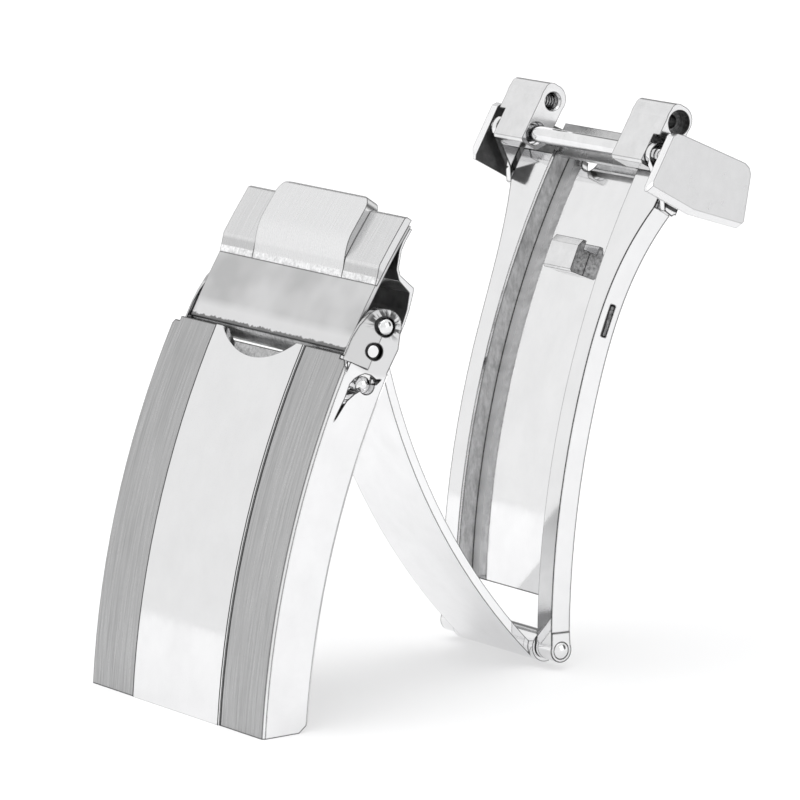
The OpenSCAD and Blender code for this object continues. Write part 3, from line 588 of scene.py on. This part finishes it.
def pin_steel(name, covered):
    """Polished pin, rougher and darkened with painted shade within the covered reach from the middle
    and along the underside.
    """
    n = Surface(name)
    cloud = clouds(n, 900)
    # painted shade along the underside and within the covered reach
    underside = n.facing(DOWN, start=0.45, end=0.8)
    painted_shade = n.math("MAXIMUM", n.below(n.off_centre(), covered), underside)
    n.metal(n.mix(painted_shade, n.shades(cloud, *PIN_GREYS), n.shades(cloud, *PIN_SHADE_GREYS)),
            rough=n.blend(painted_shade, n.spread(cloud, *PIN_ROUGH), DULL_ROUGH))
    n.bump(cloud, strength=0.15, depth=0.01 * MM)
    return n.material


# reaches are distances from the axis of the bracelet's screws
SEAT_REACH = 0.72 * MM
SEAT_ROUGH = 0.35
LINK_ROUGH = (0.14, 0.26)
THREAD_REACH = 0.45 * MM
THREAD_PITCH = 0.25 * MM
THREAD_SHADE_GREYS = (0.12, 0.9)
THREAD_RANGE = (-0.4, 0.4)


def seat_link_steel(name):
    """Satin steel; the screw head's seat is coarse and dark."""
    n = Surface(name)
    cloud = clouds(n, 700, 5.0)
    coarse, coarse_grain = blasted(n, light=0.4, dark=0.08)
    seat = n.below(n.from_axis(SCREW), SEAT_REACH)
    n.metal(edge_shaded(n, n.mix(seat, n.shades(cloud, *SATIN), coarse), 0.8),
            rough=n.blend(seat, n.spread(cloud, *LINK_ROUGH), SEAT_ROUGH))
    n.bump(n.total(cloud, n.product(coarse_grain, seat)), strength=0.3, depth=0.02 * MM)
    return n.material


def threaded_link_steel(name):
    """Satin steel; the screw hole's wall has painted light and shade in the turns of a thread."""
    n = Surface(name)
    cloud = clouds(n, 700, 5.0)
    hole = n.below(n.from_axis(SCREW), THREAD_REACH)
    turn = n.math("SINE", n.product(n.x(), 2.0 * math.pi / THREAD_PITCH))
    # painted light and shade on the thread's turns
    thread = n.shades(turn, *THREAD_SHADE_GREYS, *THREAD_RANGE)
    n.metal(edge_shaded(n, n.mix(hole, n.shades(cloud, *SATIN), thread), 0.7),
            rough=n.spread(cloud, *LINK_ROUGH))
    n.bump(n.total(cloud, n.product(turn, hole)), strength=0.3, depth=0.02 * MM)
    return n.material


def dress(names, material):
    for name in names:
        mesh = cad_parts[name].data
        mesh.materials.clear()
        mesh.materials.append(material)


def dress_clasp():
    dress(["cover_shell"], cover_steel("cover_steel"))
    dress(["catch_lobe_left", "catch_lobe_right"],
          lobe_steel("lobe_brushed", light=0.7, dark=0.59, relief=0.5, painted_shade=0.5))
    dress(["catch_lobe_center"],
          lobe_steel("lobe_light_brushed", light=0.76, dark=0.69, relief=0.2, painted_shade=0.12))
    dress(["catch_plate"], catch_steel("catch_matte"))
    dress(["catch_back_plate"], back_plate_steel("catch_back_steel"))
    dress(["outer_blade"], outer_blade_steel("outer_blade_steel"))
    dress(["cover_center_strip"], strip_steel("strip_polished"))
    dress(["inner_blade"], polished("blade_polished"))
    dress(["blade_pin", "catch_pin"], pin_steel("hinge_pin_steel", covered=BETWEEN_EARS))
    dress(["end_rod"], pin_steel("rod_steel", covered=0.0))
    dress(["keeper_bar", "fold_pin"], polished("pin_polished", *PIN_GREYS, line=0.0))
    dress(["hook_keeper", "spring_bar_tube", "spring_bar_plunger_left",
           "spring_bar_plunger_right"], satin("small_satin", light=0.76, dark=0.6))
    dress(["blade_hook"], hook_steel("hook_satin"))
    dress(["end_link_right"], seat_link_steel("seat_link_satin"))
    dress(["end_link_left"], threaded_link_steel("threaded_link_satin"))
    dress(["shroud_cheek_left", "shroud_cheek_right"], cheek_steel("cheek_satin"))
    dress(["shroud_web"], satin("web_satin", light=0.6, dark=0.4, rough=0.24))
    dress(["catch_spring", "spring_bar_spring"], dark_spring("spring_dark"))


# Floor, light and camera

FLOOR_SIZE = 4.0
FLOOR_GREYS = (0.62, 0.64)
FLOOR_ROUGH = 0.8
FLOOR_LIFT = 0.38


def white_floor():
    """A plane that glows a little to the camera and in reflections, so that its shadows stay pale."""
    bpy.ops.mesh.primitive_plane_add(size=FLOOR_SIZE)
    floor = bpy.context.object
    floor.name = "floor"
    n = Surface("floor_white")
    dark, light = (grey(level) for level in FLOOR_GREYS)
    n.feed(n.shader.inputs["Base Color"], n.mix(n.noise(6, 2.0), dark, light))
    n.shader.inputs["Roughness"].default_value = FLOOR_ROUGH
    n.shader.inputs["Emission Color"].default_value = WHITE
    n.feed(n.shader.inputs["Emission Strength"], n.product(n.seen_ray(), FLOOR_LIFT))
    floor.data.materials.append(n.material)


def softbox(name, place, target, size, power):
    data = bpy.data.lights.new(name, "AREA")
    data.shape = "RECTANGLE"
    data.size, data.size_y = size
    data.energy = power
    lamp = bpy.data.objects.new(name, data)
    lamp.location = place
    lamp.rotation_euler = (Vector(target) - Vector(place)).to_track_quat("-Z", "Y").to_euler()
    bpy.context.collection.objects.link(lamp)


def studio_light():
    """Three broad softboxes, aimed at the middle of the clasp."""
    centre = (0.0, 0.0, 15 * MM)
    softbox("top", (-0.1, -0.1, 0.75), centre, size=(0.9, 0.9), power=2.3)
    softbox("front", (-0.35, -0.75, 0.35), centre, size=(0.8, 0.6), power=1.3)
    softbox("side", (0.75, 0.35, 0.3), centre, size=(0.7, 0.6), power=1.0)


# strength of the room's light on matt surfaces and in reflections
ROOM_LEVEL = 0.86
GLOSSY_LEVEL = 1.0

# dark flags round the table: direction, how far each reaches (cosines of its edge), its level
FLAGS = (
    ((-0.62, 0.62, 0.40), 0.975, 0.90, 0.15),
    ((0.55, 0.80, 0.30), 0.975, 0.90, 0.12),
)


def room_shade(n):
    """The room's grey in each direction, pale with dark flags in it."""
    around = n.add("ShaderNodeTexCoord").outputs["Generated"]
    level = 1.0
    for direction, inner, outer, dark in FLAGS:
        facing = n.dot(around, tuple(Vector(direction).normalized()))
        level = n.product(level, n.spread(facing, 1.0, dark, outer, inner, "SMOOTHSTEP"))
    return level


def white_world():
    """White to the camera; round the table, a pale room with dark flags that give steel its lines."""
    world = bpy.data.worlds.new("studio")
    bpy.context.scene.world = world
    world.use_nodes = True
    n = Nodes(world.node_tree)
    n.tree.nodes.clear()
    path = n.add("ShaderNodeLightPath")
    around = n.add("ShaderNodeBackground")
    n.feed(around.inputs["Color"], room_shade(n))
    n.feed(around.inputs["Strength"],
           n.spread(path.outputs["Is Glossy Ray"], ROOM_LEVEL, GLOSSY_LEVEL, 0.0, 1.0))
    seen = n.add("ShaderNodeBackground")
    seen.inputs["Color"].default_value = WHITE
    mix = n.add("ShaderNodeMixShader")
    n.feed(mix.inputs["Fac"], path.outputs["Is Camera Ray"])
    n.feed(mix.inputs[1], around.outputs["Background"])
    n.feed(mix.inputs[2], seen.outputs["Background"])
    n.feed(n.add("ShaderNodeOutputWorld").inputs["Surface"], mix.outputs["Shader"])


# the camera fitted to the photograph: its aim point, direction and roll in degrees, distance
# and lens; sensor and lens are in the camera's own millimetres
AIM = Vector((3.219, -3.254, 15.634)) * MM
AZIMUTH = 58.0
ELEVATION = 10.32
ROLL = -2.14
DISTANCE = 354.6 * MM
SENSOR = 36.0
LENS = 298.26
NEAREST = 0.01


def photo_camera():
    azimuth, elevation, roll = (math.radians(a) for a in (AZIMUTH, ELEVATION, ROLL))
    back = Vector((math.cos(elevation) * math.sin(azimuth),
                   -math.cos(elevation) * math.cos(azimuth), math.sin(elevation)))
    level = Vector((math.cos(azimuth), math.sin(azimuth), 0.0))
    up = back.cross(level)
    right = level * math.cos(roll) + up * math.sin(roll)
    top = up * math.cos(roll) - level * math.sin(roll)
    data = bpy.data.cameras.new("photo_camera")
    data.lens = LENS
    data.sensor_width = SENSOR
    data.clip_start = NEAREST
    camera = bpy.data.objects.new("photo_camera", data)
    turn = Matrix((right, top, back)).transposed()
    camera.matrix_world = Matrix.Translation(AIM + back * DISTANCE) @ turn.to_4x4()
    bpy.context.collection.objects.link(camera)
    bpy.context.scene.camera = camera


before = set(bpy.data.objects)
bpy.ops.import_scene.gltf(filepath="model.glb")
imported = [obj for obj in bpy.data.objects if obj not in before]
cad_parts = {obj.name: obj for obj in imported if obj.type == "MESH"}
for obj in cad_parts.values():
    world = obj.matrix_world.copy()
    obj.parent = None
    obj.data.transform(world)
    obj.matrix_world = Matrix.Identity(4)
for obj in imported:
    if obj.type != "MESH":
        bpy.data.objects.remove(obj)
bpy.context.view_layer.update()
dress_clasp()
white_floor()
studio_light()
white_world()
photo_camera()
bpy.context.scene.view_settings.view_transform = "Standard"
